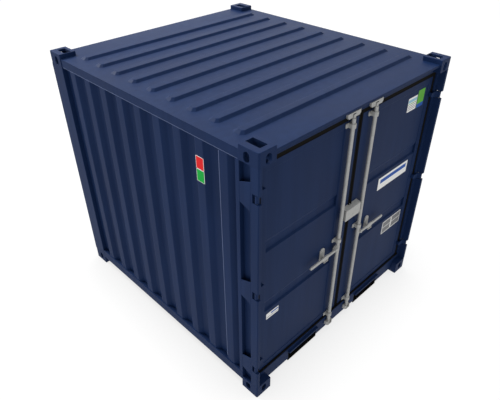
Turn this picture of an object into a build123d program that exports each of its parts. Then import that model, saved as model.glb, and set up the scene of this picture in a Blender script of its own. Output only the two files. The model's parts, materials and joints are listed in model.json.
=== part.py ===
from build123d import *
import os

# Small storage container, in millimetres: origin at bottom centre, +Z up, doors at -Y.
# Right is +X when the length runs along +Y; the left pieces are mirror copies.

# Overall size
width = 2200.0
length = 2438.0
height = 2260.0

# Corner castings
casting_length = 168.0
top_casting_width = 145.0
top_casting_height = 104.0
low_casting_width = 155.0
low_casting_height = 118.0
casting_wall = 20.0
casting_corner = 12.0
casting_edge = 4.0
slot_width = 64.0
slot_length = 118.0
slot_from_side = 82.0
slot_from_end = 101.0
hole_width = 50.0
hole_height = 70.0
hole_from_side = 80.0
hole_from_end = 101.0
hole_from_face = 62.0

# Door-end posts
bar_width = 30.0
bar_back = 69.0
recess_depth = 39.0
recess_back = 163.0
post_depth = 59.0
post_back = 197.0
jamb_back = 59.0
leaf_back = 73.0
jamb_thick = 16.0
web_thick = 8.0
bar_edge = 8.0
gusset_thick = 6.0
gusset_front_height = 216.0
gusset_back_height = 146.0

# Rear posts
rear_post_width = 120.0
rear_post_reach = 47.0
rear_post_side = 50.0
post_sheet = 6.0

# Rails, sills and header
rail_setback = 5.0
top_rail_width = 55.0
tube_sheet = 4.0
rail_bottom = 80.0
rail_top = 175.0
low_rail_width = 50.0
rail_sheet = 6.0
header_front = 14.0
header_back = 115.0
header_drop = 113.0
header_lip = 16.0
header_brow = 19.0
header_sheet = 5.0
sill_bottom = 37.0
sill_shelf = 128.0
sill_top = 166.0
sill_depth = 60.0
sill_web = 8.0
sill_flange = 6.0
sill_low_flange = 40.0
rear_sill_depth = 54.0
rear_header_depth = 54.0

# Fork pockets
pocket_inner_edge = 286.0
pocket_outer_edge = 661.0
pocket_bottom = 12.0
pocket_sheet = 6.0
hood_reach = 21.0
hood_margin = 4.0
hood_height = 19.0

# Roof
roof_drop = 36.0
roof_sheet = 3.0
roof_rib_pitch = 227.0
roof_rib_lead = 85.0
roof_rib_base = 100.0
roof_rib_top = 56.0
roof_rib_side_gap = 118.0
roof_rib_end = 28.0
roof_rib_corner = 24.0
roof_rib_height = 18.0

# Corrugated walls
wall_sheet = 3.0
wall_depth = 35.0
wall_pitch = 225.0
wall_flat = 77.0
wall_slope = 36.0
wall_lead = 72.0

# Floor
floor_thick = 28.0
floor_side_gap = 1.0
floor_rear_gap = 59.0
beam_height = 80.0
beam_flange = 45.0
beam_sheet = 6.0
beam_lead = 191.0
beam_count = 5

# Door leaves
leaf_inner = 22.0
leaf_clear = 5.0
leaf_low_clear = 5.0
leaf_thick = 50.0
outer_stile = 54.0
inner_stile = 159.0
leaf_top_rail = 51.0
leaf_low_rail = 50.0
leaf_edge = 4.0
panel_recess = 4.0
panel_sheet = 3.0
groove_depth = 15.0
groove_low_slope = 12.0
groove_flat = 64.0
groove_high_slope = 34.0
groove_shares = (0.3342, 0.6361)
gasket_thick = 14.0
gasket_side = 28.0
gasket_top = 38.0
gasket_low = 12.0
gasket_proud = 2.0
gasket_sill_lip = 1.0
leaf_half_gap = 3.2

# Hinges
hinge_from_bottom = 147.0
hinge_from_top = 167.0
pin_from_side = 15.0
pin_from_end = 27.0
pin_radius = 8.0
pin_play = 0.05
notch_height = 64.0
notch_depth = 54.0
barrel_radius = 14.0
barrel_height = 54.0
blade_thick = 9.0
blade_seat = 18.0
blade_taper = 20.0
blade_root = 20.0
blade_back = 27.0
barrel_bite = 12.0

# Lock rods and their guides and keepers
rod_x = 136.0
rod_from_door = 30.0
rod_radius = 14.75
rod_above_keeper = 8.0
rod_below_header = 18.0
tongue_into_keeper = 26.0
tongue_into_header = 13.0
tongue_width = 24.0
tongue_thick = 12.0
guide_from_bottom = 20.0
guide_from_top = 31.0
guide_above_hub = 78.0
guide_height = 36.0
guide_width = 98.0
guide_foot = 6.0
guide_strap = 7.0
guide_play = 0.1
guide_corner = 8.0
keeper_half_slot = 18.0
top_keeper_thick = 18.0
top_keeper_drop = 10.0
top_keeper_height = 40.0
top_keeper_half_wide = 74.0
top_keeper_corner = 14.0
tongue_clear = 5.0
low_keeper_half_wide = 37.0
low_keeper_reach = 39.0
low_keeper_bottom = 84.0
low_keeper_height = 38.0
low_keeper_corner = 12.0
low_keeper_floor = 8.0

# Handles, hubs and catches
hub_above_leaf = 797.0
hub_half_tall = 14.0
hub_root_half_tall = 36.0
hub_collar = 17.0
hub_collar_half_tall = 24.0
lug_front = 3.0
lug_back = 12.0
pivot_from_rod = 36.0
pivot_radius = 6.0
pivot_play = 0.05
pivot_head = 10.0
pivot_head_thick = 4.0
handle_gap = 0.4
handle_thick = 12.0
handle_eye = 14.0
handle_arm_half = 11.0
handle_grip_half = 13.0
handle_long = 324.0
handle_bend = 14.0
block_from_rod = 166.0
block_half_wide = 38.0
block_top_half = 20.0
block_rise = 18.0
block_drop = 26.0
catch_half_wide = 28.0
catch_above_hub = 74.0
catch_thick = 6.0
shelf_thick = 6.0
shelf_reach = 50.0
catch_gap = 5.0

# Lock box
box_outer = 95.0
box_reach = 47.0
box_above_hub = 247.0
box_height = 111.0
box_slope = 11.0
box_sheet = 4.0
box_edge = 5.0
box_seam_relief = 10.0

# Amount by which a cutting shape runs past the face it opens
overrun = 10.0

# Values that follow from the sizes above
side = width / 2
front = -length / 2
rear = length / 2
jamb_plane = front + jamb_back
door_plane = front + leaf_back
post_inner = side - post_depth
frame_top = height - top_casting_height
rail_face = side - rail_setback
rear_face = rear - rail_setback
wall_inner = rail_face - wall_depth
roof_top = height - roof_drop
roof_under = roof_top - roof_sheet
header_bottom = height - header_drop
lip_bottom = roof_under - header_lip
top_casting_inner = side - top_casting_width
low_casting_inner = side - low_casting_width
casting_front = front + casting_length
casting_rear = rear - casting_length
post_rear_edge = front + post_back
rear_post_inner = side - rear_post_width
pocket_top = sill_shelf - sill_flange
sill_back = jamb_plane + sill_depth
floor_top = pocket_top + floor_thick
leaf_outer = post_inner - leaf_clear - gasket_side
leaf_bottom = sill_top + leaf_low_clear + gasket_low
leaf_top = header_bottom - leaf_clear - gasket_top
leaf_tall = leaf_top - leaf_bottom
hinge_low = leaf_bottom + hinge_from_bottom
hinge_high = leaf_top - hinge_from_top
hinge_heights = (hinge_low, (hinge_low + hinge_high) / 2, hinge_high)
pin_x = side - pin_from_side
pin_y = front + pin_from_end
rod_y = door_plane - rod_from_door
hub_z = leaf_bottom + hub_above_leaf
guide_heights = (leaf_bottom + guide_from_bottom, hub_z + guide_above_hub, leaf_top - guide_from_top)
low_keeper_top = low_keeper_bottom + low_keeper_height
rod_low = low_keeper_top + rod_above_keeper
rod_high = header_bottom - rod_below_header
tongue_low = low_keeper_top - tongue_into_keeper
tongue_high = header_bottom + tongue_into_header
slot_top = tongue_high + tongue_clear
pivot_x = rod_x + pivot_from_rod
block_x = rod_x + block_from_rod
lug_face = rod_y - lug_front
handle_back = lug_face - handle_gap
handle_front = handle_back - handle_thick


def block(x, y, z):
    """Box between pairs of coordinates."""
    middle = [(pair[0] + pair[1]) / 2 for pair in (x, y, z)]
    spans = [pair[1] - pair[0] for pair in (x, y, z)]
    return Pos(*middle) * Box(*spans)


def outline(points):
    return make_face(Polyline(*points, close=True))


def prism_x(face, x):
    """Sweep a face drawn in (y, z) along X."""
    plane = Plane(origin=(x[0], 0, 0), x_dir=(0, 1, 0), z_dir=(1, 0, 0))
    return extrude(plane * face, amount=x[1] - x[0])


def prism_y(face, y):
    """Sweep a face drawn in (x, z) along Y."""
    plane = Plane(origin=(0, y[1], 0), x_dir=(1, 0, 0), z_dir=(0, -1, 0))
    return extrude(plane * face, amount=y[1] - y[0])


def prism_z(face, z):
    """Sweep a face drawn in (x, y) along Z."""
    return extrude(Pos(0, 0, z[0]) * face, amount=z[1] - z[0])


def around(middle, half):
    return (middle - half, middle + half)


def left_of(shape):
    """Copy on the other side of the middle plane."""
    return mirror(shape, about=Plane.YZ)


def front_of(shape):
    """Copy at the other end."""
    return mirror(shape, about=Plane.XZ)


def save(name, *shapes):
    solids = [solid for shape in shapes for solid in shape.solids()]
    body = solids[0] if len(solids) == 1 else Compound(solids)
    body.label = name
    export_step(body, "parts/" + name + ".step")


os.makedirs("parts", exist_ok=True)


# Corner castings, drawn at the right rear corner
def casting(inner, low, high, slot_down):
    body = block((inner, side), (casting_rear, rear), (low, high))
    upright = body.edges().filter_by(Axis.Z).sort_by_distance((side, rear, high))
    body = fillet(upright[0], casting_corner)
    if not slot_down:
        body = fillet(body.edges().group_by(Axis.Z)[-1], casting_edge)
    hollow_x = (inner + casting_wall, side - casting_wall)
    hollow_y = (casting_rear + casting_wall, rear - casting_wall)
    hollow_low = low + casting_wall
    hollow_high = high - casting_wall
    body -= block(hollow_x, hollow_y, (hollow_low, hollow_high))
    slot_z = (low - overrun, hollow_high) if slot_down else (hollow_low, high + overrun)
    slot_x = around(side - slot_from_side, slot_width / 2)
    slot_y = around(rear - slot_from_end, slot_length / 2)
    body -= block(slot_x, slot_y, slot_z)
    hole_z = low + hole_from_face if slot_down else high - hole_from_face
    reach = casting_wall + overrun
    side_plane = Plane(origin=(side, rear - hole_from_end, hole_z), x_dir=(0, 0, 1), z_dir=(1, 0, 0))
    end_plane = Plane(origin=(side - hole_from_side, rear, hole_z), x_dir=(0, 0, 1), z_dir=(0, 1, 0))
    oval = SlotOverall(hole_height, hole_width)
    body -= extrude(side_plane * oval, amount=reach, both=True)
    body -= extrude(end_plane * oval, amount=reach, both=True)
    return body


top_casting = casting(top_casting_inner, frame_top, height, False)
low_casting = casting(low_casting_inner, 0, low_casting_height, True)
save("top_casting_rear_right", top_casting)
save("top_casting_rear_left", left_of(top_casting))
save("top_casting_door_right", front_of(top_casting))
save("top_casting_door_left", left_of(front_of(top_casting)))
save("low_casting_rear_right", low_casting)
save("low_casting_rear_left", left_of(low_casting))
save("low_casting_door_right", front_of(low_casting))
save("low_casting_door_left", left_of(front_of(low_casting)))

# Door-end posts: front bar, open recess on the outside, rear flange
recess_face = side - recess_depth
recess_end = front + recess_back
bar_end = front + bar_back
post_points = [
    (side - bar_width, front),
    (side, front),
    (side, bar_end),
    (recess_face, bar_end),
    (recess_face, recess_end),
    (side, recess_end),
    (side, casting_front),
    (recess_face - web_thick, casting_front),
    (recess_face - web_thick, jamb_plane + jamb_thick),
    (post_inner, jamb_plane + jamb_thick),
    (post_inner, jamb_plane),
    (side - bar_width, jamb_plane),
]
post = prism_z(outline(post_points), (low_casting_height, frame_top))
bar_corner = post.edges().filter_by(Axis.Z).sort_by_distance((side, front, height / 2))[0]
post = fillet(bar_corner, bar_edge)
flange_x = (recess_face - web_thick, side)
post += block(flange_x, (casting_front, post_rear_edge), (rail_top, frame_top))
for z in hinge_heights:
    notch_x = (side - bar_width - overrun, side + overrun)
    notch_y = (front - overrun, front + notch_depth)
    post -= block(notch_x, notch_y, around(z, notch_height / 2))
save("door_post_right", post)
save("door_post_left", left_of(post))

# Gusset plates across the post recess at the hinges
gussets = []
for z in hinge_heights:
    gusset_points = [
        (bar_end, z - gusset_front_height / 2),
        (recess_end, z - gusset_back_height / 2),
        (recess_end, z + gusset_back_height / 2),
        (bar_end, z + gusset_front_height / 2),
    ]
    gusset = prism_x(outline(gusset_points), (side - gusset_thick, side))
    gussets += [gusset, left_of(gusset)]
save("hinge_gussets", *gussets)

# Hinge pins, standing in the notches
pins = []
for z in hinge_heights:
    pin = Pos(pin_x, pin_y, z) * Cylinder(pin_radius, notch_height)
    pins += [pin, left_of(pin)]
save("hinge_pins", *pins)

# Rear posts: pressed hollow section with a sloped inner face
rear_post_points = [
    (side, casting_rear),
    (side, rear),
    (rear_post_inner, rear),
    (rear_post_inner, rear - rear_post_reach),
    (side - rear_post_side, casting_rear),
]
rear_post_face = outline(rear_post_points)
rear_post_solid = prism_z(rear_post_face, (low_casting_height, frame_top))
rear_post_hollow = offset(rear_post_face, amount=-post_sheet, kind=Kind.INTERSECTION)
rear_post = prism_z(rear_post_face - rear_post_hollow, (low_casting_height, frame_top))
save("rear_post_right", rear_post)
save("rear_post_left", left_of(rear_post))

# Top side rails and rear header: rectangular tubes below the roof
tube_z = (frame_top, roof_under)
tube_hollow_z = (frame_top + tube_sheet, roof_under - tube_sheet)
rail_x = (rail_face - top_rail_width, rail_face)
rail_y = (casting_front, casting_rear)
top_rail = block(rail_x, rail_y, tube_z)
top_rail -= block((rail_x[0] + tube_sheet, rail_x[1] - tube_sheet), rail_y, tube_hollow_z)
save("top_rail_right", top_rail)
save("top_rail_left", left_of(top_rail))
rear_header_x = around(0, top_casting_inner)
rear_header_y = (rear_face - rear_header_depth, rear_face)
rear_header = block(rear_header_x, rear_header_y, tube_z)
rear_header_hollow_y = (rear_header_y[0] + tube_sheet, rear_header_y[1] - tube_sheet)
rear_header -= block(rear_header_x, rear_header_hollow_y, tube_hollow_z)
save("rear_header", rear_header)

# Door header: hollow beam with a brow over its upright face, notched round the castings
header_points = [
    (front + header_front, roof_under),
    (front + header_front, lip_bottom),
    (jamb_plane, lip_bottom - header_brow),
    (jamb_plane, header_bottom),
    (front + header_back, header_bottom),
    (front + header_back, roof_under),
]
header_face = outline(header_points)
header_hollow = offset(header_face, amount=-header_sheet, kind=Kind.INTERSECTION)
header = prism_x(header_face - header_hollow, around(0, post_inner))
for x in ((top_casting_inner, post_inner + overrun), (-post_inner - overrun, -top_casting_inner)):
    header -= block(x, (front, casting_front), (frame_top, roof_top))
save("door_header", header)

# Bottom side rails: channels open to the inside
low_rail_x = (side - low_rail_width, side)
low_rail = block(low_rail_x, rail_y, (rail_bottom, rail_top))
low_rail -= block(
    (low_rail_x[0] - overrun, side - rail_sheet),
    rail_y,
    (rail_bottom + rail_sheet, rail_top - rail_sheet),
)
save("low_rail_right", low_rail)
save("low_rail_left", left_of(low_rail))

# Door sill: channel with an upstand in front, and two fork openings under hoods
sill = block(around(0, post_inner), (jamb_plane, sill_back), (sill_bottom, sill_shelf))
sill -= block(
    around(0, post_inner),
    (jamb_plane + sill_web, sill_back),
    (sill_bottom + sill_flange, pocket_top),
)
low_flange_y = (jamb_plane + sill_low_flange, sill_back)
sill -= block(around(0, post_inner), low_flange_y, (sill_bottom, sill_bottom + sill_flange))
sill += block(around(0, post_inner), (jamb_plane, jamb_plane + sill_web), (sill_shelf, sill_top))
for x in ((low_casting_inner, post_inner), (-post_inner, -low_casting_inner)):
    sill -= block(x, (jamb_plane, sill_back), (sill_bottom, low_casting_height))
for x in ((pocket_inner_edge, pocket_outer_edge), (-pocket_outer_edge, -pocket_inner_edge)):
    sill -= block(x, (jamb_plane, sill_back), (sill_bottom, pocket_top))
    hood_x = (x[0] - hood_margin, x[1] + hood_margin)
    hood_y = (jamb_plane - hood_reach, jamb_plane)
    sill += block(hood_x, hood_y, (pocket_top, pocket_top + hood_height))
save("door_sill", sill)

# Rear sill: channel open to the inside with the same fork openings
rear_sill_y = (rear_face - rear_sill_depth, rear_face)
rear_sill = block(around(0, rear_post_inner), rear_sill_y, (sill_bottom, rail_top))
rear_sill -= block(
    around(0, rear_post_inner),
    (rear_sill_y[0], rear_face - sill_web),
    (sill_bottom + sill_flange, rail_top - sill_flange),
)
for x in ((low_casting_inner, rear_post_inner), (-rear_post_inner, -low_casting_inner)):
    rear_sill -= block(x, rear_sill_y, (sill_bottom, low_casting_height))
for x in ((pocket_inner_edge, pocket_outer_edge), (-pocket_outer_edge, -pocket_inner_edge)):
    rear_sill -= block(x, rear_sill_y, (sill_bottom, pocket_top))
save("rear_sill", rear_sill)

# Fork pockets: sheet tunnels from end to end
pocket_x = (pocket_inner_edge, pocket_outer_edge)
pocket = block(pocket_x, (jamb_plane, rear_face), (pocket_bottom, pocket_top))
pocket -= block(
    (pocket_inner_edge + pocket_sheet, pocket_outer_edge - pocket_sheet),
    (jamb_plane, rear_face),
    (pocket_bottom + pocket_sheet, pocket_top - pocket_sheet),
)
save("fork_pocket_right", pocket)
save("fork_pocket_left", left_of(pocket))

# Floor beams: channels between the pockets and the side rails
beam_low = pocket_top - beam_height
beam_first = casting_front + beam_lead
beams = []
for i in range(beam_count):
    y = beam_first + i * (-2 * beam_first) / (beam_count - 1)
    beam_points = [
        (y, beam_low),
        (y + beam_flange, beam_low),
        (y + beam_flange, beam_low + beam_sheet),
        (y + beam_sheet, beam_low + beam_sheet),
        (y + beam_sheet, pocket_top - beam_sheet),
        (y + beam_flange, pocket_top - beam_sheet),
        (y + beam_flange, pocket_top),
        (y, pocket_top),
    ]
    section = outline(beam_points)
    side_beam = prism_x(section, (pocket_outer_edge, side - low_rail_width))
    beams += [prism_x(section, around(0, pocket_inner_edge)), side_beam, left_of(side_beam)]
save("floor_beams", *beams)

# Floor boards, cut round the rear posts
floor_y = (sill_back, rear - floor_rear_gap)
floor = block(around(0, post_inner - floor_side_gap), floor_y, (pocket_top, floor_top))
floor -= rear_post_solid
floor -= left_of(rear_post_solid)
save("floor_boards", floor)


# Roof: pressed sheet with cross ribs that slope at every side
def rib_face(half_long, half_wide, corner):
    points = [
        (half_long, half_wide - corner),
        (half_long - corner, half_wide),
        (corner - half_long, half_wide),
        (-half_long, half_wide - corner),
        (-half_long, corner - half_wide),
        (corner - half_long, -half_wide),
        (half_long - corner, -half_wide),
        (half_long, corner - half_wide),
    ]
    return outline(points)


roof_rib_reach = rail_face - roof_rib_side_gap
rib_base = rib_face(roof_rib_reach, roof_rib_base / 2, roof_rib_corner)
rib_corner_share = roof_rib_top / roof_rib_base
rib_top = rib_face(roof_rib_reach - roof_rib_end, roof_rib_top / 2, roof_rib_corner * rib_corner_share)
rib = loft([rib_base, Pos(0, 0, roof_rib_height) * rib_top], ruled=True)
roof = block(around(0, rail_face), (front + header_front, rear_face), (roof_under, roof_top))
for x in ((top_casting_inner, side), (-side, -top_casting_inner)):
    for y in ((front, casting_front), (casting_rear, rear)):
        roof -= block(x, y, (roof_under, roof_top))
rib_span = casting_rear - casting_front - 2 * roof_rib_lead - roof_rib_base
rib_count = int(rib_span / roof_rib_pitch) + 1
for i in range(rib_count):
    y = (i - (rib_count - 1) / 2) * roof_rib_pitch
    roof += Pos(0, y, roof_top) * rib
    roof -= Pos(0, y, roof_under) * rib
save("roof_panel", roof)


# Corrugated sheets: points (along, across) of the outer face, flats joined by slopes
def corrugated(start, end, outer, inner, centred):
    count = int((end - start - 2 * wall_lead - wall_flat) / wall_pitch) + 1
    first = start + wall_lead
    if centred:
        first = (start + end - (count - 1) * wall_pitch - wall_flat) / 2
    points = [(start, inner)]
    for i in range(count):
        flat_start = first + i * wall_pitch
        flat_end = flat_start + wall_flat
        points.append((flat_start - wall_slope, inner))
        points.append((flat_start, outer))
        points.append((flat_end, outer))
        points.append((flat_end + wall_slope, inner))
    points.append((end, inner))
    back = [(along, across - wall_sheet) for along, across in points]
    return points + back[::-1]


wall_z = (rail_top, frame_top)
side_points = corrugated(post_rear_edge, casting_rear, rail_face, wall_inner, False)
side_wall = prism_z(outline([(across, along) for along, across in side_points]), wall_z)
save("side_wall_right", side_wall)
save("side_wall_left", left_of(side_wall))
end_points = corrugated(-rear_post_inner, rear_post_inner, rear_face, rear_face - wall_depth, True)
end_wall = prism_z(outline(end_points), wall_z)
save("end_wall", end_wall)

# Keepers of the lock rods: plates on the header face with a slot open below and in front
top_keeper_low = header_bottom - top_keeper_drop
top_keeper_z = (top_keeper_low, top_keeper_low + top_keeper_height)
top_keeper_y = (jamb_plane - top_keeper_thick, jamb_plane)
top_keeper = block(around(rod_x, top_keeper_half_wide), top_keeper_y, top_keeper_z)
low_corners = top_keeper.edges().filter_by(Axis.Y).group_by(Axis.Z)[0]
top_keeper = chamfer(low_corners, top_keeper_corner)
top_keeper -= block(around(rod_x, keeper_half_slot), top_keeper_y, (top_keeper_low, slot_top))
save("top_keepers", top_keeper, left_of(top_keeper))

# Keepers on the sill: blocks with a slot open to the front and the top
low_keeper_y = (jamb_plane - low_keeper_reach, jamb_plane)
low_keeper_z = (low_keeper_bottom, low_keeper_top)
low_keeper = block(around(rod_x, low_keeper_half_wide), low_keeper_y, low_keeper_z)
keeper_corners = low_keeper.edges().filter_by(Axis.Z).group_by(Axis.Y)[0]
low_keeper = chamfer(keeper_corners, low_keeper_corner)
low_slot_z = (low_keeper_bottom + low_keeper_floor, low_keeper_top)
low_keeper -= block(around(rod_x, keeper_half_slot), low_keeper_y, low_slot_z)
save("low_keepers", low_keeper, left_of(low_keeper))

# Door leaf: a frame with a wide inner stile round a pressed panel
leaf_y = (door_plane, door_plane + leaf_thick)
field_x = (leaf_inner + inner_stile, leaf_outer - outer_stile)
field_z = (leaf_bottom + leaf_low_rail, leaf_top - leaf_top_rail)
leaf = block((leaf_inner, leaf_outer), leaf_y, (leaf_bottom, leaf_top))
leaf -= block(field_x, leaf_y, field_z)
leaf_corner = leaf.edges().filter_by(Axis.Z).sort_by_distance((leaf_outer, leaf_y[1], height / 2))[0]
leaf = fillet(leaf_corner, leaf_edge)
panel_face = door_plane + panel_recess
panel_points = [(panel_face, field_z[0])]
for groove_share in groove_shares:
    z = leaf_bottom + groove_share * leaf_tall
    groove_low = z + groove_low_slope
    groove_high = groove_low + groove_flat
    panel_points.append((panel_face, z))
    panel_points.append((panel_face + groove_depth, groove_low))
    panel_points.append((panel_face + groove_depth, groove_high))
    panel_points.append((panel_face, groove_high + groove_high_slope))
panel_points.append((panel_face, field_z[1]))
panel_back = [(y + panel_sheet, z) for y, z in panel_points]
panel = prism_x(outline(panel_points + panel_back[::-1]), field_x)
gasket_x = (leaf_half_gap, leaf_outer + gasket_side)
gasket_y = (door_plane - gasket_proud, door_plane - gasket_proud + gasket_thick)
gasket_z = (leaf_bottom - gasket_low, leaf_top + gasket_top)
gasket = block(gasket_x, gasket_y, gasket_z)
gasket -= block((leaf_inner, leaf_outer), gasket_y, (leaf_bottom, leaf_top))
lip_y = (jamb_plane + gasket_sill_lip, gasket_y[0])
gasket += block(gasket_x, lip_y, (gasket_z[0], leaf_bottom))

# Hinge blades: barrel on the pin, arm stepping back to the leaf, pad below the blade
arm_back = pin_y + blade_back
arm_front = arm_back - blade_thick
blade_end = leaf_outer - blade_seat
blade_bend = pin_x - blade_root
arm_points = [
    (pin_x - barrel_bite, pin_y),
    (blade_bend, arm_front),
    (blade_end, arm_front),
    (blade_end, arm_back),
    (blade_bend, arm_back),
    (pin_x, pin_y + barrel_radius),
]
blades = []
for z in hinge_heights:
    barrel_z = around(z, barrel_height / 2)
    blade = prism_z(outline(arm_points), barrel_z)
    blade += Pos(pin_x, pin_y, z) * Cylinder(barrel_radius, barrel_height)
    blade += block((blade_end, leaf_outer), (arm_back, door_plane), barrel_z)
    blade -= Pos(pin_x, pin_y, z) * Cylinder(pin_radius + pin_play, barrel_height)
    taper_points = [
        (blade_end, barrel_z[0]),
        (blade_bend, barrel_z[0]),
        (blade_end, barrel_z[0] + blade_taper),
    ]
    blade -= prism_y(outline(taper_points), (arm_front, door_plane))
    blades.append(blade)

# Rod guides: feet on the leaf and a strap bent round the rod
strap_half = rod_radius + guide_play + guide_strap
guides = []
for z in guide_heights:
    guide_z = around(z, guide_height / 2)
    foot_y = (door_plane - guide_foot, door_plane)
    foot = block(around(rod_x, guide_width / 2), foot_y, guide_z)
    foot = fillet(foot.edges().filter_by(Axis.Y), guide_corner)
    guide = foot + block(around(rod_x, strap_half), (rod_y, door_plane), guide_z)
    guide += Pos(rod_x, rod_y, z) * Cylinder(strap_half, guide_height)
    guide -= Pos(rod_x, rod_y, z) * Cylinder(rod_radius + guide_play, guide_height)
    guide -= block(around(rod_x, strap_half), (door_plane, door_plane + leaf_thick), guide_z)
    guides.append(guide)

# Handle catch: round-headed plate on the panel with a shelf below the handle
shelf_top = hub_z - block_drop - catch_gap
catch_low = shelf_top - shelf_thick
catch_round = hub_z + catch_above_hub - catch_half_wide
catch_y = (door_plane - catch_thick, door_plane + panel_recess)
catch_plane = Plane(origin=(block_x, catch_y[1], catch_round), x_dir=(1, 0, 0), z_dir=(0, -1, 0))
catch = block(around(block_x, catch_half_wide), catch_y, (catch_low, catch_round))
catch += extrude(catch_plane * Circle(catch_half_wide), amount=catch_y[1] - catch_y[0])
shelf_y = (door_plane - shelf_reach, door_plane - catch_thick)
catch += block(around(block_x, catch_half_wide), shelf_y, (catch_low, shelf_top))

# Lock box half: shell open to the seam and below, its top falling to the front
box_y = (door_plane - box_reach, door_plane)
box_bottom = hub_z + box_above_hub
box_top = box_bottom + box_height
box_points = [
    (box_y[1], box_bottom),
    (box_y[0], box_bottom),
    (box_y[0], box_top - box_slope),
    (box_y[1], box_top),
]
lock_box = prism_x(outline(box_points), (leaf_half_gap, box_outer))
front_edges = lock_box.edges().group_by(Axis.Y)[0]
rounded = [front_edges.sort_by(Axis.Z)[-1], front_edges.sort_by(Axis.X)[-1]]
lock_box = fillet(rounded, box_edge)
inner_points = [
    (box_y[1], box_bottom),
    (box_y[0] + box_sheet, box_bottom),
    (box_y[0] + box_sheet, box_top - box_slope - box_sheet),
    (box_y[1], box_top - box_sheet),
]
lock_box -= prism_x(outline(inner_points), (leaf_half_gap, box_outer - box_sheet))
seam_zone = (door_plane - box_seam_relief, door_plane)
lock_box -= block((leaf_half_gap, leaf_inner), seam_zone, (box_bottom, box_top))

for name, shapes in (
    ("leaf_frame", [leaf]),
    ("leaf_panel", [panel]),
    ("leaf_gasket", [gasket]),
    ("hinge_blades", blades),
    ("rod_guides", guides),
    ("handle_catch", [catch]),
    ("lock_box", [lock_box]),
):
    save(name + "_right", *shapes)
    save(name + "_left", *[left_of(shape) for shape in shapes])

# Lock rod: round bar with flat tongues at the ends and a hub for the handle
rod = Pos(rod_x, rod_y, (rod_low + rod_high) / 2) * Cylinder(rod_radius, rod_high - rod_low)
tongue_x = around(rod_x, tongue_width / 2)
tongue_y = around(rod_y, tongue_thick / 2)
rod += block(tongue_x, tongue_y, (tongue_low, rod_low))
rod += block(tongue_x, tongue_y, (rod_high, tongue_high))
rod += Pos(rod_x, rod_y, hub_z) * Cylinder(hub_collar, 2 * hub_collar_half_tall)
lug_end = pivot_x + handle_eye
lug_points = [
    (rod_x, hub_z - hub_root_half_tall),
    (lug_end, hub_z - hub_half_tall),
    (lug_end, hub_z + hub_half_tall),
    (rod_x, hub_z + hub_root_half_tall),
]
rod += prism_y(outline(lug_points), (lug_face, rod_y + lug_back))
across = Plane(origin=(pivot_x, lug_face, hub_z), x_dir=(1, 0, 0), z_dir=(0, -1, 0))
pivot_long = 2 * handle_gap + handle_thick
rod += extrude(across * Circle(pivot_radius), amount=pivot_long)
rod += extrude(across.offset(pivot_long) * Circle(pivot_head), amount=pivot_head_thick)
save("lock_rod_right", rod)
save("lock_rod_left", left_of(rod))

# Handle: flat bar with an eye on the hub pivot, a wider block at the catch and a grip
handle_tip = pivot_x + handle_long
block_start = block_x - block_half_wide
block_end = block_x + block_half_wide
handle_points = [
    (pivot_x, hub_z - handle_arm_half),
    (block_start, hub_z - handle_arm_half),
    (block_start + handle_bend, hub_z - block_drop),
    (block_end - handle_bend, hub_z - block_drop),
    (block_end, hub_z - handle_grip_half),
    (handle_tip - handle_grip_half, hub_z - handle_grip_half),
    (handle_tip, hub_z),
    (handle_tip - handle_grip_half, hub_z + handle_grip_half),
    (block_end, hub_z + handle_grip_half),
    (block_x + block_top_half, hub_z + block_rise),
    (block_x - block_top_half, hub_z + block_rise),
    (block_start, hub_z + handle_arm_half),
    (pivot_x, hub_z + handle_arm_half),
]
handle_y = (handle_front, handle_back)
eye_plane = Plane(origin=(pivot_x, handle_back, hub_z), x_dir=(1, 0, 0), z_dir=(0, -1, 0))
handle = prism_y(outline(handle_points), handle_y)
handle += extrude(eye_plane * Circle(handle_eye), amount=handle_thick)
handle -= extrude(eye_plane * Circle(pivot_radius + pivot_play), amount=handle_thick)
save("handle_right", handle)
save("handle_left", left_of(handle))
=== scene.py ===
import json
import math

import bmesh
import bpy
from mathutils import Matrix, Vector

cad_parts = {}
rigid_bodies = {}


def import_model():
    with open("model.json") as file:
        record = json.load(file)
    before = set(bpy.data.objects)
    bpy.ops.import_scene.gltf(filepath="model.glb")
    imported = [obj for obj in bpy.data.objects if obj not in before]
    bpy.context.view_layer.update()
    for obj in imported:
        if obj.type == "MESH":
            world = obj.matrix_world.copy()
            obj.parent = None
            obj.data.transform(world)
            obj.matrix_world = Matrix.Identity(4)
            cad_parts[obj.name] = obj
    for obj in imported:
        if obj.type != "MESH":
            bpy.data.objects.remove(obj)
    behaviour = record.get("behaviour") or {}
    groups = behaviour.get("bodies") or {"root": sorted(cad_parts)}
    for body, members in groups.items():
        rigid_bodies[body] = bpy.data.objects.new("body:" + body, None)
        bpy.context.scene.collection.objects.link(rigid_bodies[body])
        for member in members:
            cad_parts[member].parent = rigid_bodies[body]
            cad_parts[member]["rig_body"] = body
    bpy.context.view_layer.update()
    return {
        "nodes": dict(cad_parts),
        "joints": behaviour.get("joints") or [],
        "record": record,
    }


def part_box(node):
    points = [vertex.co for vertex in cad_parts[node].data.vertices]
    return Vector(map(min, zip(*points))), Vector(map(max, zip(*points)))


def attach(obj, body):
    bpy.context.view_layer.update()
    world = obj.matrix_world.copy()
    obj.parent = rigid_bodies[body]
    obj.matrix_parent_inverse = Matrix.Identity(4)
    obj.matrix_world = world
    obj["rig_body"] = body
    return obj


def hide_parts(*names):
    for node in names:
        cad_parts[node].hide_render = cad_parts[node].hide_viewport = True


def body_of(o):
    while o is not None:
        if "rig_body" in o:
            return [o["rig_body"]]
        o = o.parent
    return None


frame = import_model()

MM = 0.001
SIDES = ("left", "right")
X, Z = 0, 2

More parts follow.
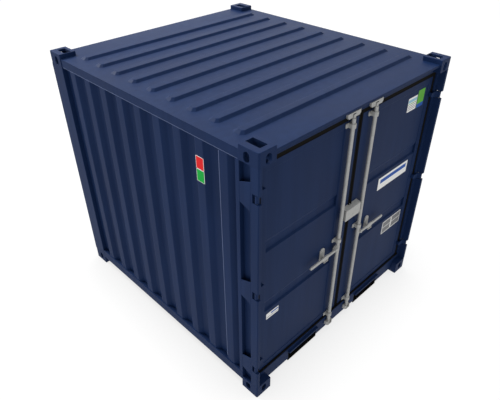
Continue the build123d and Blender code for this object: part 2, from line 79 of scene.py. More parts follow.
# Camera of the photograph: place and aim in metres, lens in millimetres
CAMERA_PLACE = (-2.781, -2.850, 3.608)
CAMERA_AIM = (-0.3209, -0.3580, 1.1357)
CAMERA_ROLL = math.radians(-0.222)
CAMERA_LENS = 35.63

# Soft lamps: name, place and aim in metres, edge length in metres, watts
SOFTBOXES = [
    ("key_softbox", (-2.4, 7.4, 8.2), (0, 0, 2.0), 4.0, 1180),
    ("back_softbox", (6.2, 6.4, 4.6), (0, 0, 2.2), 8.0, 260),
    ("front_softbox", (0.4, -1.8, 8.5), (0.2, -1.2, 1.2), 4.0, 110),
    ("fill_softbox", (-6.0, -2.4, 1.2), (-0.9, -0.3, 1.0), 3.0, 38),
]


def linear(hexa):
    """An sRGB hex colour as linear red, green, blue and alpha."""
    parts = [int(hexa[i:i + 2], 16) / 255 for i in (1, 3, 5)]
    return [c / 12.92 if c <= 0.04045 else ((c + 0.055) / 1.055) ** 2.4 for c in parts] + [1.0]


def add_node(tree, kind, props=None, values=None, links=None):
    """Adds a shader node with its settings, its socket values and its links."""
    node = tree.nodes.new(kind)
    for key, value in (props or {}).items():
        setattr(node, key, value)
    for key, value in (values or {}).items():
        node.inputs[key].default_value = value
    for key, socket in (links or {}).items():
        tree.links.new(socket, node.inputs[key])
    return node


def start_material(name):
    """A new material with an empty tree and the object's own coordinates."""
    material = bpy.data.materials.new(name)
    material.use_nodes = True
    tree = material.node_tree
    tree.nodes.clear()
    place = add_node(tree, "ShaderNodeTexCoord").outputs["Object"]
    return material, tree, place


def close_material(tree, shader):
    """Ends a material's tree with its shader."""
    add_node(tree, "ShaderNodeOutputMaterial", links={"Surface": shader.outputs[0]})


def per_size(millimetres):
    """Texture scale at which one feature has that size."""
    return 1 / (millimetres * MM)


# Cosine between the softened and the true normal, where the edge mask starts and where it is full
MASK_START = 0.995
MASK_FULL = 0.86


def edge_mask(tree, radius_mm):
    """Soft normal over the edges and a mask that is 1 on them."""
    soft = add_node(tree, "ShaderNodeBevel", {"samples": 6}, {"Radius": radius_mm * MM})
    true = add_node(tree, "ShaderNodeNewGeometry")
    turn = add_node(tree, "ShaderNodeVectorMath", {"operation": "DOT_PRODUCT"},
                    links={0: soft.outputs["Normal"], 1: true.outputs["Normal"]})
    mask = add_node(tree, "ShaderNodeMapRange", values={"From Min": MASK_START, "From Max": MASK_FULL},
                    links={"Value": turn.outputs["Value"]})
    return soft.outputs["Normal"], mask.outputs["Result"]


# Materials

def navy_paint(name, body, pale, edge, peel_mm, peel_strength):
    """Two-coat navy paint on steel: satin, faintly cloudy, and paler on the edges, partly from paint worn
    thin there and partly as a painted highlight.
    """
    material, tree, place = start_material(name)
    cloud = add_node(tree, "ShaderNodeTexNoise", values={"Scale": per_size(600), "Detail": 4.0},
                     links={"Vector": place})
    # Rain has run down the walls, so the cloud is drawn out upright
    fall = add_node(tree, "ShaderNodeMapping", values={"Scale": (9.0, 9.0, 0.7)}, links={"Vector": place})
    streak = add_node(tree, "ShaderNodeTexNoise", values={"Scale": per_size(500), "Detail": 5.0},
                      links={"Vector": fall.outputs["Vector"]})
    both = add_node(tree, "ShaderNodeMath", {"operation": "MULTIPLY"},
                    links={0: cloud.outputs["Fac"], 1: streak.outputs["Fac"]})
    spread = add_node(tree, "ShaderNodeMapRange", values={"From Min": 0.12, "From Max": 0.42},
                      links={"Value": both.outputs["Value"]})
    tone = add_node(tree, "ShaderNodeMixRGB", values={"Color1": linear(body), "Color2": linear(pale)},
                    links={"Fac": spread.outputs["Result"]})
    soft, mask = edge_mask(tree, 1.6)
    # Paler colour on the edges: partly worn-thin paint, partly a painted highlight
    edge_wear_and_highlight = add_node(tree, "ShaderNodeMath", {"operation": "MULTIPLY"}, {1: 0.5}, {0: mask})
    colour = add_node(tree, "ShaderNodeMixRGB", values={"Color2": linear(edge)},
                      links={"Fac": edge_wear_and_highlight.outputs["Value"], "Color1": tone.outputs["Color"]})
    # Real orange peel is about 3 mm across; it is drawn coarser so that it shows
    peel = add_node(tree, "ShaderNodeTexNoise", values={"Scale": per_size(peel_mm), "Detail": 2.0},
                    links={"Vector": place})
    bump = add_node(tree, "ShaderNodeBump", values={"Strength": peel_strength, "Distance": 1 * MM},
                    links={"Height": peel.outputs["Fac"], "Normal": soft})
    gloss = add_node(tree, "ShaderNodeMapRange", values={"To Min": 0.48, "To Max": 0.62},
                     links={"Value": cloud.outputs["Fac"]})
    shader = add_node(tree, "ShaderNodeBsdfPrincipled", values={"Specular IOR Level": 0.06},
                      links={"Base Color": colour.outputs["Color"], "Roughness": gloss.outputs["Result"],
                             "Normal": bump.outputs["Normal"]})
    close_material(tree, shader)
    return material


def galvanised_steel():
    """Hot-dip zinc on forged steel: pale grey, faint crystal spangle, soft sheen, and a painted highlight
    that makes the edges bright.
    """
    material, tree, place = start_material("galvanised_steel")
    spangle = add_node(tree, "ShaderNodeTexVoronoi", values={"Scale": per_size(22)},
                       links={"Vector": place})
    grey = add_node(tree, "ShaderNodeRGBToBW", links={"Color": spangle.outputs["Color"]})
    tone = add_node(tree, "ShaderNodeMixRGB",
                    values={"Color1": linear("#a2a2a0"), "Color2": linear("#b2b2b0")},
                    links={"Fac": grey.outputs["Val"]})
    soft, mask = edge_mask(tree, 2.0)
    # Painted highlight: the edges are mixed towards a near-white grey
    painted_edge_highlight = add_node(tree, "ShaderNodeMath", {"operation": "MULTIPLY"}, {1: 0.9}, {0: mask})
    colour = add_node(tree, "ShaderNodeMixRGB", values={"Color2": linear("#d8d8d6")},
                      links={"Fac": painted_edge_highlight.outputs["Value"], "Color1": tone.outputs["Color"]})
    gloss = add_node(tree, "ShaderNodeMapRange", values={"To Min": 0.42, "To Max": 0.58},
                     links={"Value": grey.outputs["Val"]})
    dips = add_node(tree, "ShaderNodeTexNoise", values={"Scale": per_size(30), "Detail": 3.0},
                    links={"Vector": place})
    bump = add_node(tree, "ShaderNodeBump", values={"Strength": 0.08, "Distance": 1 * MM},
                    links={"Height": dips.outputs["Fac"], "Normal": soft})
    shader = add_node(tree, "ShaderNodeBsdfPrincipled",
                      values={"Metallic": 0.3, "Specular IOR Level": 0.3},
                      links={"Base Color": colour.outputs["Color"], "Roughness": gloss.outputs["Result"],
                             "Normal": bump.outputs["Normal"]})
    close_material(tree, shader)
    return material


def dark_coat(name, body, pale, rough, grain_mm, bump_mm, specular):
    """Matt rubber, bitumen or sealant: a fine pebble in the surface and a dusty tone."""
    material, tree, place = start_material(name)
    grain = add_node(tree, "ShaderNodeTexNoise", values={"Scale": per_size(grain_mm), "Detail": 3.0},
                     links={"Vector": place})
    colour = add_node(tree, "ShaderNodeMixRGB", values={"Color1": linear(body), "Color2": linear(pale)},
                      links={"Fac": grain.outputs["Fac"]})
    bump = add_node(tree, "ShaderNodeBump", values={"Strength": 0.3, "Distance": bump_mm * MM},
                    links={"Height": grain.outputs["Fac"]})
    shader = add_node(tree, "ShaderNodeBsdfPrincipled",
                      values={"Roughness": rough, "Specular IOR Level": specular},
                      links={"Base Color": colour.outputs["Color"], "Normal": bump.outputs["Normal"]})
    close_material(tree, shader)
    return material


def floor_plywood():
    """Sealed hardwood plywood in sheets: long grain along the container, dark joints, satin seal."""
    material, tree, place = start_material("sealed_plywood")
    along = add_node(tree, "ShaderNodeMapping", values={"Scale": (16.0, 0.9, 16.0)},
                     links={"Vector": place})
    grain = add_node(tree, "ShaderNodeTexNoise",
                     values={"Scale": per_size(160), "Detail": 8.0, "Distortion": 0.6},
                     links={"Vector": along.outputs["Vector"]})
    tone = add_node(tree, "ShaderNodeMixRGB",
                    values={"Color1": linear("#6b4a2c"), "Color2": linear("#a67b4c")},
                    links={"Fac": grain.outputs["Fac"]})
    # Sheets 1160 by 580 mm, laid lengthwise with butt joints
    turned = add_node(tree, "ShaderNodeMapping", values={"Rotation": (0.0, 0.0, math.radians(90))},
                      links={"Vector": place})
    joint = add_node(tree, "ShaderNodeTexBrick", {"offset": 0.5},
                     {"Scale": per_size(580), "Mortar Size": 0.006, "Mortar Smooth": 0.3,
                      "Brick Width": 2.0, "Row Height": 1.0}, {"Vector": turned.outputs["Vector"]})
    colour = add_node(tree, "ShaderNodeMixRGB", values={"Color2": linear("#2a1c10")},
                      links={"Fac": joint.outputs["Fac"], "Color1": tone.outputs["Color"]})
    deep = add_node(tree, "ShaderNodeMath", {"operation": "SUBTRACT"},
                    links={0: grain.outputs["Fac"], 1: joint.outputs["Fac"]})
    bump = add_node(tree, "ShaderNodeBump", values={"Strength": 0.2, "Distance": 2 * MM},
                    links={"Height": deep.outputs["Value"]})
    shader = add_node(tree, "ShaderNodeBsdfPrincipled", values={"Roughness": 0.5},
                      links={"Base Color": colour.outputs["Color"], "Normal": bump.outputs["Normal"]})
    close_material(tree, shader)
    return material


def printed_vinyl(name, ink_colour, faded):
    """Printed self-adhesive vinyl: smooth, slightly faded in clouds, a low satin film over the ink."""
    material, tree, place = start_material(name)
    fade = add_node(tree, "ShaderNodeTexNoise", values={"Scale": per_size(60), "Detail": 4.0},
                    links={"Vector": place})
    colour = add_node(tree, "ShaderNodeMixRGB",
                      values={"Color1": linear(ink_colour), "Color2": linear(faded)},
                      links={"Fac": fade.outputs["Fac"]})
    gloss = add_node(tree, "ShaderNodeMapRange", values={"To Min": 0.38, "To Max": 0.5},
                     links={"Value": fade.outputs["Fac"]})
    bump = add_node(tree, "ShaderNodeBump", values={"Strength": 0.05, "Distance": 1 * MM},
                    links={"Height": fade.outputs["Fac"]})
    shader = add_node(tree, "ShaderNodeBsdfPrincipled", values={"Specular IOR Level": 0.06},
                      links={"Base Color": colour.outputs["Color"], "Roughness": gloss.outputs["Result"],
                             "Normal": bump.outputs["Normal"]})
    close_material(tree, shader)
    return material


def brushed_aluminium(name, body, pale):
    """Brushed aluminium sheet: pale grey with fine lines along its length."""
    material, tree, place = start_material(name)
    # Brush lines are a fraction of a millimetre; they are drawn 4 mm wide so that they show
    along = add_node(tree, "ShaderNodeMapping", values={"Scale": (0.04, 1.0, 1.0)},
                     links={"Vector": place})
    lines = add_node(tree, "ShaderNodeTexNoise", values={"Scale": per_size(4), "Detail": 3.0},
                     links={"Vector": along.outputs["Vector"]})
    colour = add_node(tree, "ShaderNodeMixRGB", values={"Color1": linear(body), "Color2": linear(pale)},
                      links={"Fac": lines.outputs["Fac"]})
    bump = add_node(tree, "ShaderNodeBump", values={"Strength": 0.1, "Distance": 0.5 * MM},
                    links={"Height": lines.outputs["Fac"]})
    shader = add_node(tree, "ShaderNodeBsdfPrincipled", values={"Metallic": 0.5, "Roughness": 0.45},
                      links={"Base Color": colour.outputs["Color"], "Normal": bump.outputs["Normal"]})
    close_material(tree, shader)
    return material


paint = navy_paint("navy_paint", "#142649", "#1a2d52", "#26385f", peel_mm=14, peel_strength=0.1)
cast_paint = navy_paint("navy_paint_on_cast_steel", "#15274b", "#192b4f", "#26385f",
                        peel_mm=9, peel_strength=0.3)
zinc = galvanised_steel()
rubber = dark_coat("gasket_rubber", "#121110", "#171614",
                   rough=0.9, grain_mm=5, bump_mm=0.6, specular=0.05)
bitumen = dark_coat("underbody_bitumen", "#0a0a0a", "#161615",
                    rough=0.85, grain_mm=18, bump_mm=2.0, specular=0.1)
plywood = floor_plywood()
sealant = dark_coat("grey_joint_sealant", "#5a678a", "#6a7796",
                    rough=0.7, grain_mm=12, bump_mm=0.8, specular=0.1)
white_vinyl = printed_vinyl("white_vinyl", "#f4f4f2", "#fafaf8")
blue_vinyl = printed_vinyl("blue_vinyl", "#1c50a8", "#2c5eb2")
sky_vinyl = printed_vinyl("pale_blue_vinyl", "#8fc4d8", "#a4d0e0")
green_vinyl = printed_vinyl("green_vinyl", "#5aa83a", "#6cb848")
deep_green_vinyl = printed_vinyl("deep_green_vinyl", "#10a038", "#1cac44")
red_vinyl = printed_vinyl("red_vinyl", "#dc1a20", "#e2282a")
rule_vinyl = printed_vinyl("grey_rule_vinyl", "#8a8a8c", "#9a9a9c")
plate_metal = brushed_aluminium("brushed_aluminium", "#c6c6c4", "#d6d6d4")
field_metal = brushed_aluminium("etched_aluminium", "#5c5d60", "#6c6d70")
finishes = {
    "painted_steel": paint,
    "galvanised_steel": zinc,
    "gasket_rubber": rubber,
    "plywood": plywood,
    "underbody_coating": bitumen,
}
slot_of = {row["node"]: row["material_slot"] for row in frame["record"]["subparts"]}
for name, node in frame["nodes"].items():
    for material_slot in node.material_slots:
        material_slot.material = cast_paint if "casting" in name else finishes[slot_of[name]]


# Modelling by hand: select, shape, finish

def only(piece):
    """Leaves one object selected and active."""
    bpy.ops.object.select_all(action="DESELECT")
    piece.select_set(True)
    bpy.context.view_layer.objects.active = piece


def edit(piece):
    """Opens one object in edit mode."""
    only(piece)
    bpy.ops.object.mode_set(mode="EDIT")


def leave_edit():
    """Goes back to object mode."""
    bpy.ops.object.mode_set(mode="OBJECT")


def pick(kind, test):
    """In edit mode, selects just the faces or edges that pass a test."""
    bpy.ops.mesh.select_mode(type=kind)
    bpy.ops.mesh.select_all(action="DESELECT")
    mesh = bpy.context.object.data
    shape = bmesh.from_edit_mesh(mesh)
    for item in (shape.faces if kind == "FACE" else shape.edges):
        if test(item):
            item.select_set(True)
    shape.select_flush_mode()
    bmesh.update_edit_mesh(mesh)


def bevel(width_mm, steps):
    """Rounds the selected edges."""
    bpy.ops.mesh.bevel(offset=width_mm * MM, segments=steps, clamp_overlap=True)


def block(name, low, high):
    """A box between two corners, in millimetres."""
    middle = [(a + b) / 2 * MM for a, b in zip(low, high)]
    spans = [(b - a) * MM for a, b in zip(low, high)]
    bpy.ops.object.select_all(action="DESELECT")
    bpy.ops.mesh.primitive_cube_add(size=1, location=middle, scale=spans)
    piece = bpy.context.object
    piece.name = name
    bpy.ops.object.transform_apply(location=True, rotation=True, scale=True)
    return piece


def bar(name, start, end, radius_mm, sides):
    """A round bar between two points, in millimetres."""
    line = (Vector(end) - Vector(start)) * MM
    middle = (Vector(end) + Vector(start)) / 2 * MM
    turn = line.to_track_quat("Z", "Y").to_euler()
    bpy.ops.object.select_all(action="DESELECT")
    bpy.ops.mesh.primitive_cylinder_add(vertices=sides, radius=radius_mm * MM, depth=line.length,
                                        location=middle, rotation=turn)
    piece = bpy.context.object
    piece.name = name
    bpy.ops.object.transform_apply(location=True, rotation=True, scale=True)
    return piece


def joined(name, pieces):
    """Joins objects into the first of them."""
    bpy.ops.object.select_all(action="DESELECT")
    for piece in pieces:
        piece.select_set(True)
    bpy.context.view_layer.objects.active = pieces[0]
    bpy.ops.object.join()
    pieces[0].name = name
    return pieces[0]


def copied(piece, place):
    """A copy with its own mesh, moved to a place in millimetres."""
    twin = piece.copy()
    twin.data = piece.data.copy()
    twin.data.transform(Matrix.Translation(Vector(place) * MM))
    bpy.context.scene.collection.objects.link(twin)
    return twin


SMOOTH_BELOW = math.radians(50)     # edges that turn less are shaded smooth


def finish(piece, body, materials=None):
    """Shades a piece, gives it its finish and puts it on its body."""
    only(piece)
    bpy.ops.object.shade_smooth_by_angle(angle=SMOOTH_BELOW)
    even = piece.modifiers.new("even_normals", "WEIGHTED_NORMAL")
    even.keep_sharp = True
    bpy.ops.object.modifier_apply(modifier=even.name)
    if materials:
        piece.data.materials.clear()
        for material in materials:
            piece.data.materials.append(material)
    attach(piece, body)
    return piece


# Steel pieces with rolled and rounded edges, each standing for its node

WELD_MM = 0.01     # points closer than this are one
FLAT_DEG = 0.4     # faces that turn less than this are one
FRAME_STEEL = ("door_post_left", "door_post_right", "rear_post_left", "rear_post_right",
               "top_rail_left", "top_rail_right", "low_rail_left", "low_rail_right",
               "door_header", "rear_header", "door_sill", "rear_sill", "hinge_gussets")


def merged_copy(name):
    """A copy of a CAD node with its triangles joined into whole faces; it stays in edit mode."""
    source = frame["nodes"][name]
    piece = bpy.data.objects.new(name + "_formed", source.data.copy())
    bpy.context.scene.collection.objects.link(piece)
    only(piece)
    bpy.ops.mesh.customdata_custom_splitnormals_clear()
    edit(piece)
    bpy.ops.mesh.select_all(action="SELECT")
    bpy.ops.mesh.remove_doubles(threshold=WELD_MM * MM)
    bpy.ops.mesh.dissolve_limited(angle_limit=math.radians(FLAT_DEG))
    return piece


def stand_for(piece, name):
    """Ends the shaping of a merged copy and lets it stand for its node."""
    leave_edit()
    finish(piece, body_of(frame["nodes"][name])[0])
    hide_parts(name)


def rounded(name, width_mm, steps, from_deg, to_deg=179.0):
    """A node with those of its edges rounded that turn by an angle in a range."""
    low, high = math.radians(from_deg), math.radians(to_deg)
    piece = merged_copy(name)
    pick("EDGE", lambda edge: low < edge.calc_face_angle(0.0) < high)
    bevel(width_mm, steps)
    stand_for(piece, name)


def lipped_gasket(name):
    """A door gasket with a groove between two lips along its front."""
    lip_wide, groove_deep, lip_round = 3.5, 3, 0.8
    piece = merged_copy(name)
    pick("FACE", lambda face: face.normal.y < -0.99)
    bpy.ops.mesh.inset(thickness=lip_wide * MM, depth=-groove_deep * MM)
    pick("EDGE", lambda edge: edge.calc_face_angle(0.0) > math.radians(60))
    bevel(lip_round, 2)
    stand_for(piece, name)


for end in ("door", "rear"):
    for side in SIDES:
        rounded("top_casting_" + end + "_" + side, width_mm=3.0, steps=2, from_deg=40)
        rounded("low_casting_" + end + "_" + side, width_mm=3.0, steps=2, from_deg=40)
for wall in ("side_wall_left", "side_wall_right", "end_wall"):
    rounded(wall, width_mm=5.0, steps=3, from_deg=15, to_deg=70)
rounded("roof_panel", width_mm=2.5, steps=2, from_deg=12, to_deg=70)
for steel in FRAME_STEEL:
    rounded(steel, width_mm=2.0, steps=2, from_deg=40)
for keepers in ("top_keepers", "low_keepers"):
    rounded(keepers, width_mm=1.2, steps=2, from_deg=60)
for side in SIDES:
    rounded("leaf_frame_" + side, width_mm=2.5, steps=2, from_deg=40)
    rounded("leaf_panel_" + side, width_mm=1.0, steps=2, from_deg=15, to_deg=75)
    rounded("lock_rod_" + side, width_mm=1.2, steps=2, from_deg=40)
    rounded("handle_" + side, width_mm=1.6, steps=2, from_deg=60)
    for gear in ("rod_guides_", "handle_catch_", "hinge_blades_", "lock_box_"):
        rounded(gear + side, width_mm=1.5, steps=2, from_deg=40)
    lipped_gasket("leaf_gasket_" + side)


# Lines of sealant on the walls and round the door panels, in millimetres

LAP_SEAM_Y = -874       # lap of the first two sheets of the left wall
LAP_SEAM_FROM_FOOT = 50
LAP_SEAM_FROM_TOP = 10
LAP_SEAM_RADIUS = 3.0
RAIL_SEAM_END = 1040    # both ways from the middle of the wall
RAIL_SEAM_RADIUS = 1.6
RAIL_SEAM_SUNK = 0.5    # axis behind the wall's outer face
PANEL_SEAM_RADIUS = 2.5


def sealant_line(name, start, end, radius_mm):
    """A laid line of sealant between two points, with rounded ends."""
    piece = bar(name, start, end, radius_mm, 8)
    way = (Vector(end) - Vector(start)).normalized()
    edit(piece)
    pick("FACE", lambda face: abs(face.normal.dot(way)) > 0.99)
    bpy.ops.mesh.inset(thickness=radius_mm * 0.5 * MM, depth=radius_mm * 0.5 * MM, use_individual=True)
    leave_edit()
    return piece


def box_mm(name):
    """Lowest and highest corners of a CAD node, in millimetres."""
    return [[value / MM for value in corner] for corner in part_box(name)]


wall_low, wall_high = box_mm("side_wall_left")
lap_x = wall_low[0] + LAP_SEAM_RADIUS / 2
seams = [sealant_line("lap_seam", (lap_x, LAP_SEAM_Y, wall_low[2] + LAP_SEAM_FROM_FOOT),
                      (lap_x, LAP_SEAM_Y, wall_high[2] - LAP_SEAM_FROM_TOP), LAP_SEAM_RADIUS)]
for sign in (-1, 1):
    rail_x = sign * (-wall_low[0] - RAIL_SEAM_SUNK)
    seams.append(sealant_line("rail_seam", (rail_x, -RAIL_SEAM_END, wall_high[2]),
                              (rail_x, RAIL_SEAM_END, wall_high[2]), RAIL_SEAM_RADIUS))
finish(joined("wall_sealant", seams), "frame", [sealant])

for side in SIDES:
    panel_low, panel_high = box_mm("leaf_panel_" + side)
    corners = [(panel_low[0], panel_low[1], panel_low[2]), (panel_high[0], panel_low[1], panel_low[2]),
               (panel_high[0], panel_low[1], panel_high[2]), (panel_low[0], panel_low[1], panel_high[2])]
    lines = [sealant_line("panel_seam", corners[i], corners[(i + 1) % 4], PANEL_SEAM_RADIUS)
             for i in range(4)]
    finish(joined("panel_weld_" + side, lines), "door_" + side, [paint])


# Hex bolts of the door gear, in millimetres

BOLT_ACROSS = 15        # across the flats of the head
BOLT_TALL = 7
WASHER_THICK = 2
GUIDE_FOOT = 6          # plate under a rod guide, where its bolts sit
GUIDE_HALF_HEIGHT = 18
GUIDE_OVER_HUB = 78     # middle guide over the handle's hub
GUIDE_BOLT_OUT = 36     # from the rod's axis to a bolt
CATCH_BOLT_DOWN = 24    # from the catch's top to its bolt


def hex_bolt():
    """A bolt head with a washer, drawn at the origin with its top to the front."""
    head = bar("bolt_head", (0, 0, 0), (0, -BOLT_TALL, 0), BOLT_ACROSS / math.sqrt(3), 6)
    edit(head)
    pick("EDGE", lambda edge: all(v.co.y < -0.9 * BOLT_TALL * MM for v in edge.verts))
    bevel(1.4, 2)
    leave_edit()
    washer = bar("bolt_washer", (0, 0, 0), (0, -WASHER_THICK, 0), BOLT_ACROSS * 0.68, 16)
    edit(washer)
    pick("EDGE", lambda edge: all(v.co.y < -0.9 * WASHER_THICK * MM for v in edge.verts))
    bevel(0.6, 1)
    leave_edit()
    return joined("hex_bolt", [head, washer])


bolt = hex_bolt()
joint_place = {joint["name"]: joint["pos_m"] for joint in frame["joints"]}
for side in SIDES:
    guide_low, guide_high = box_mm("rod_guides_" + side)
    foot = box_mm("leaf_frame_" + side)[0][1] - GUIDE_FOOT
    rod = (guide_low[0] + guide_high[0]) / 2
    hub_height = joint_place["rod_turn_" + side][2] / MM
    places = []
    for height in (guide_low[2] + GUIDE_HALF_HEIGHT, hub_height + GUIDE_OVER_HUB,
                   guide_high[2] - GUIDE_HALF_HEIGHT):
        places += [(rod - GUIDE_BOLT_OUT, foot, height), (rod + GUIDE_BOLT_OUT, foot, height)]
    catch_low, catch_high = box_mm("handle_catch_" + side)
    places.append(((catch_low[0] + catch_high[0]) / 2, foot, catch_high[2] - CATCH_BOLT_DOWN))
    bolts = [copied(bolt, place) for place in places]
    finish(joined("door_bolts_" + side, bolts), "door_" + side, [zinc])
bpy.data.objects.remove(bolt)


# Round cams on the lower ends of the lock rods, standing in the keepers and clear of the sill

CAM_RADIUS = 15
CAM_OVER_FOOT = 12      # over the foot of the keepers
CAM_OVER_TOP = 6        # past their top

keeper_low, keeper_high = box_mm("low_keepers")
for side in SIDES:
    axis_x, axis_y = [value / MM for value in joint_place["rod_turn_" + side][:2]]
    cam = bar("rod_cam_" + side, (axis_x, axis_y, keeper_low[2] + CAM_OVER_FOOT),
              (axis_x, axis_y, keeper_high[2] + CAM_OVER_TOP), CAM_RADIUS, 32)
    edit(cam)
    pick("FACE", lambda face: face.normal.z > 0.9)
    bpy.ops.mesh.inset(thickness=2 * MM, depth=2 * MM)
    pick("FACE", lambda face: face.normal.z < -0.9)
    bpy.ops.mesh.inset(thickness=1.5 * MM, depth=1.5 * MM)
    leave_edit()
    finish(cam, "rod_" + side, [zinc])


# Lip that closes the seam between the halves of the lock box

LIP_OVER = 4.4          # past the right half, over the seam
LIP_LAP = 0.8           # on the right half
LIP_BACK = 0.5          # set back from the box's faces
LIP_FALL = 11           # of the top's front edge
LIP_SHEET = 4

box_low, box_high = box_mm("lock_box_right")
lip = block("lock_box_lip", (box_low[0] - LIP_OVER, box_low[1] + LIP_BACK, box_low[2] + LIP_BACK),
            (box_low[0] + LIP_LAP, box_high[1] - LIP_BACK, box_high[2] - LIP_BACK))


def on_front_top(edge):
    """Whether an edge is the lip's upper front one."""
    front, top = (box_low[1] + 1) * MM, (box_high[2] - 1) * MM
    return all(v.co.y < front and v.co.z > top for v in edge.verts)


edit(lip)
pick("EDGE", on_front_top)
bpy.ops.transform.translate(value=(0, 0, -LIP_FALL * MM))
pick("FACE", lambda face: face.normal.z < -0.9 or face.normal.y > 0.9)
bpy.ops.mesh.delete(type="FACE")
leave_edit()
sheet = lip.modifiers.new("sheet", "SOLIDIFY")
sheet.thickness = LIP_SHEET * MM
sheet.offset = -1
only(lip)
bpy.ops.object.modifier_apply(modifier=sheet.name)
finish(lip, "door_right", [zinc])


# Plates and films on the doors and the wall, all left without words; places in millimetres

FILM_SUNK = 0.2         # into the sheet behind, so that no gap shows
FILM_THICK = 1.0
BANNER_THICK = 1.2
PLATE_THICK = 2.0
FILM_CORNER = 4
PLATE_CORNER = 6
BORDER = 3
panel_y = box_mm("leaf_panel_right")[0][1]


def film(name, x, z, thick_mm, corner_mm, materials):
    """A thin plate on a door, with rounded corners and a border; it stays in edit mode."""
    piece = block(name, (x[0], panel_y - thick_mm, z[0]), (x[1], panel_y + FILM_SUNK, z[1]))
    for material in materials:
        piece.data.materials.append(material)
    edit(piece)
    pick("EDGE", lambda edge: abs((edge.verts[0].co - edge.verts[1].co).normalized().y) > 0.99)
    bevel(corner_mm, 3)
    pick("FACE", lambda face: face.normal.y < -0.99)
    bpy.ops.mesh.inset(thickness=BORDER * MM, depth=0)
    return piece


def cut(axis, value_mm):
    """Cuts the whole piece along a plane across an axis."""
    bpy.ops.mesh.select_all(action="SELECT")
    normal = [1.0 if i == axis else 0.0 for i in range(3)]
    bpy.ops.mesh.bisect(plane_co=[part * value_mm * MM for part in normal], plane_no=normal)


def ink(index, x, z):
    """Gives a material to the front faces inside a field."""
    def inside(face):
        middle = face.calc_center_median() / MM
        return face.normal.y < -0.99 and x[0] < middle.x < x[1] and z[0] < middle.z < z[1]
    pick("FACE", inside)
    bpy.context.object.active_material_index = index
    bpy.ops.object.material_slot_assign()


def printed(piece, body, cuts, fields):
    """Cuts a film into fields, inks them and puts it on its door."""
    for axis, value in cuts:
        cut(axis, value)
    for index, x, z in fields:
        ink(index, x, z)
    leave_edit()
    finish(piece, body)


banner = film("door_banner", (412, 866), (1254, 1372), BANNER_THICK, FILM_CORNER,
              [white_vinyl, blue_vinyl])
printed(banner, "door_right", [(X, 442), (X, 844), (Z, 1312), (Z, 1350)],
        [(1, (442, 844), (1312, 1350))])

notice = film("white_notice", (672, 806), (1884, 2003), FILM_THICK, FILM_CORNER,
              [white_vinyl, sky_vinyl, green_vinyl, rule_vinyl])
notice_x = (676, 802)
notice_rows = [(1, notice_x, (1961, 1986)), (2, notice_x, (1947, 1953)), (3, notice_x, (1930, 1936)),
               (3, notice_x, (1914, 1920)), (3, notice_x, (1898, 1904))]
printed(notice, "door_right", [(Z, value) for row in notice_rows for value in row[2]], notice_rows)

tag = film("green_tag", (817, 918), (1880, 2031), FILM_THICK, FILM_CORNER, [green_vinyl, blue_vinyl])
printed(tag, "door_right", [(Z, 1913)], [(1, (817, 918), (1880, 1913))])

label = film("white_label", (-931, -796), (730, 787), FILM_THICK, FILM_CORNER,
             [white_vinyl, rule_vinyl, blue_vinyl])
printed(label, "door_left", [(X, -880), (Z, 742), (Z, 748), (Z, 762), (Z, 776)],
        [(1, (-925, -802), (742, 748)), (2, (-880, -802), (762, 776))])

plate = film("data_plate", (624, 933), (657, 797), PLATE_THICK, PLATE_CORNER, [plate_metal, field_metal])
plate_x = ((634, 765), (785, 923))
plate_z = ((667, 724), (732, 787))
printed(plate, "door_right",
        [(X, value) for x in plate_x for value in x] + [(Z, value) for z in plate_z for value in z],
        [(1, x, z) for x in plate_x for z in plate_z])


RIVET_TALL = 2.4
RIVET_RADIUS = 4
RIVET_X = (629, 775, 928)
RIVET_Z = (662, 792)


def rivet():
    """A domed rivet head, drawn at the origin with its top to the front."""
    head = bar("rivet_head", (0, 0, 0), (0, -RIVET_TALL, 0), RIVET_RADIUS, 12)
    edit(head)
    pick("EDGE", lambda edge: all(v.co.y < -0.9 * RIVET_TALL * MM for v in edge.verts))
    bevel(1.6, 3)
    leave_edit()
    return head


stud = rivet()
rivets = [copied(stud, (x, panel_y - PLATE_THICK, z)) for x in RIVET_X for z in RIVET_Z]
finish(joined("plate_rivets", rivets), "door_right", [zinc])
bpy.data.objects.remove(stud)


WALL_FILM_Y = (-725, -648)
WALL_FILM_CORNER = 5
WALL_BORDER = 2.5


def wall_film(name, z, material):
    """A film on the outer flat of the left wall, with a white border."""
    piece = block(name, (wall_low[0] - FILM_THICK, WALL_FILM_Y[0], z[0]),
                  (wall_low[0] + FILM_SUNK, WALL_FILM_Y[1], z[1]))
    piece.data.materials.append(white_vinyl)
    piece.data.materials.append(material)
    edit(piece)
    pick("EDGE", lambda edge: abs((edge.verts[0].co - edge.verts[1].co).normalized().x) > 0.99)
    bevel(WALL_FILM_CORNER, 3)
    pick("FACE", lambda face: face.normal.x < -0.99)
    bpy.ops.mesh.inset(thickness=WALL_BORDER * MM, depth=0)
    bpy.context.object.active_material_index = 1
    bpy.ops.object.material_slot_assign()
    leave_edit()
    finish(piece, "frame")


wall_film("red_wall_film", (1926, 2022), red_vinyl)
wall_film("green_wall_film", (1830, 1924), deep_green_vinyl)


# Stage: pale floor, soft light, camera

FLOOR_SIZE = 120            # metres
SHADOW_REACH = 0.6          # metres from the container
WORLD_LIGHT = (0.44, 1.0)   # strength as a light and as it is seen
FLOOR_LIFT = (0.6, 0.8)     # share of white light from the floor, as a light and as it is seen


def seen_or_lit(tree, strengths):
    """One strength where a ray lights the scene and another where it is seen or mirrored."""
    path = add_node(tree, "ShaderNodeLightPath")
    direct = add_node(tree, "ShaderNodeMath", {"operation": "MAXIMUM"},
                      links={0: path.outputs["Is Camera Ray"], 1: path.outputs["Is Glossy Ray"]})
    seen = add_node(tree, "ShaderNodeMath", {"operation": "MAXIMUM"},
                    links={0: direct.outputs["Value"], 1: path.outputs["Is Transmission Ray"]})
    strength = add_node(tree, "ShaderNodeMapRange", values={"To Min": strengths[0], "To Max": strengths[1]},
                        links={"Value": seen.outputs["Value"]})
    return strength.outputs["Result"]


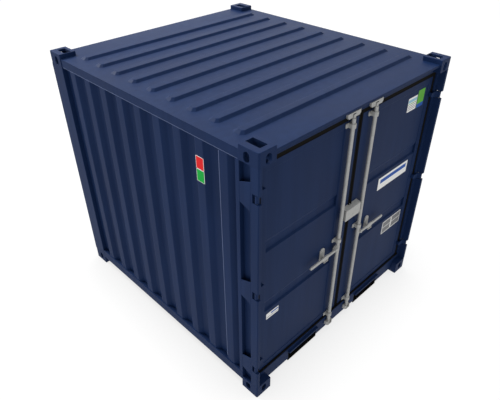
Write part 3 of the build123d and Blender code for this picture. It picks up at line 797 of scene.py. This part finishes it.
def stage_floor():
    """A pale floor that gives some light of its own and keeps a soft shadow."""
    bpy.ops.object.select_all(action="DESELECT")
    bpy.ops.mesh.primitive_plane_add(size=FLOOR_SIZE, location=(0, 0, 0))
    floor = bpy.context.object
    floor.name = "studio_floor"
    material = bpy.data.materials.new("studio_floor")
    material.use_nodes = True
    tree = material.node_tree
    tree.nodes.clear()
    lift = seen_or_lit(tree, FLOOR_LIFT)
    matt = add_node(tree, "ShaderNodeBsdfDiffuse", values={"Color": linear("#a0a0a0")})
    # White all round, with a soft shadow where the container stands close over the floor
    near = add_node(tree, "ShaderNodeAmbientOcclusion", {"samples": 8}, {"Distance": SHADOW_REACH})
    shadow = add_node(tree, "ShaderNodeMapRange",
                      values={"From Min": 0.3, "To Min": 0.95, "To Max": 1.22},
                      links={"Value": near.outputs["AO"]})
    white = add_node(tree, "ShaderNodeEmission", values={"Color": linear("#ffffff")},
                     links={"Strength": shadow.outputs["Result"]})
    mixed = add_node(tree, "ShaderNodeMixShader",
                     links={"Fac": lift, 1: matt.outputs[0], 2: white.outputs[0]})
    close_material(tree, mixed)
    floor.data.materials.append(material)


def stage_world():
    """White all round, weaker as a light than as it is seen."""
    world = bpy.data.worlds.new("studio_world")
    bpy.context.scene.world = world
    world.use_nodes = True
    tree = world.node_tree
    tree.nodes.clear()
    back = add_node(tree, "ShaderNodeBackground", values={"Color": linear("#ffffff")},
                    links={"Strength": seen_or_lit(tree, WORLD_LIGHT)})
    add_node(tree, "ShaderNodeOutputWorld", links={"Surface": back.outputs[0]})


def softbox(name, place, aim, size, watts):
    """A square soft lamp that looks from its place to its aim."""
    light = bpy.data.lights.new(name, "AREA")
    light.shape = "SQUARE"
    light.size = size
    light.energy = watts
    lamp = bpy.data.objects.new(name, light)
    bpy.context.scene.collection.objects.link(lamp)
    lamp.location = place
    lamp.rotation_euler = (Vector(aim) - Vector(place)).to_track_quat("-Z", "Y").to_euler()


def stage_camera():
    """The camera of the photograph: its place, aim, roll and lens."""
    lens = bpy.data.cameras.new("photo_camera")
    lens.lens = CAMERA_LENS
    camera = bpy.data.objects.new("photo_camera", lens)
    bpy.context.scene.collection.objects.link(camera)
    camera.location = CAMERA_PLACE
    look = Vector(CAMERA_AIM) - Vector(CAMERA_PLACE)
    camera.rotation_euler = look.to_track_quat("-Z", "Y").to_euler()
    camera.rotation_euler.rotate_axis("Z", CAMERA_ROLL)
    bpy.context.scene.camera = camera


stage_floor()
stage_world()
for values in SOFTBOXES:
    softbox(*values)
stage_camera()
bpy.context.scene.view_settings.view_transform = "Standard"
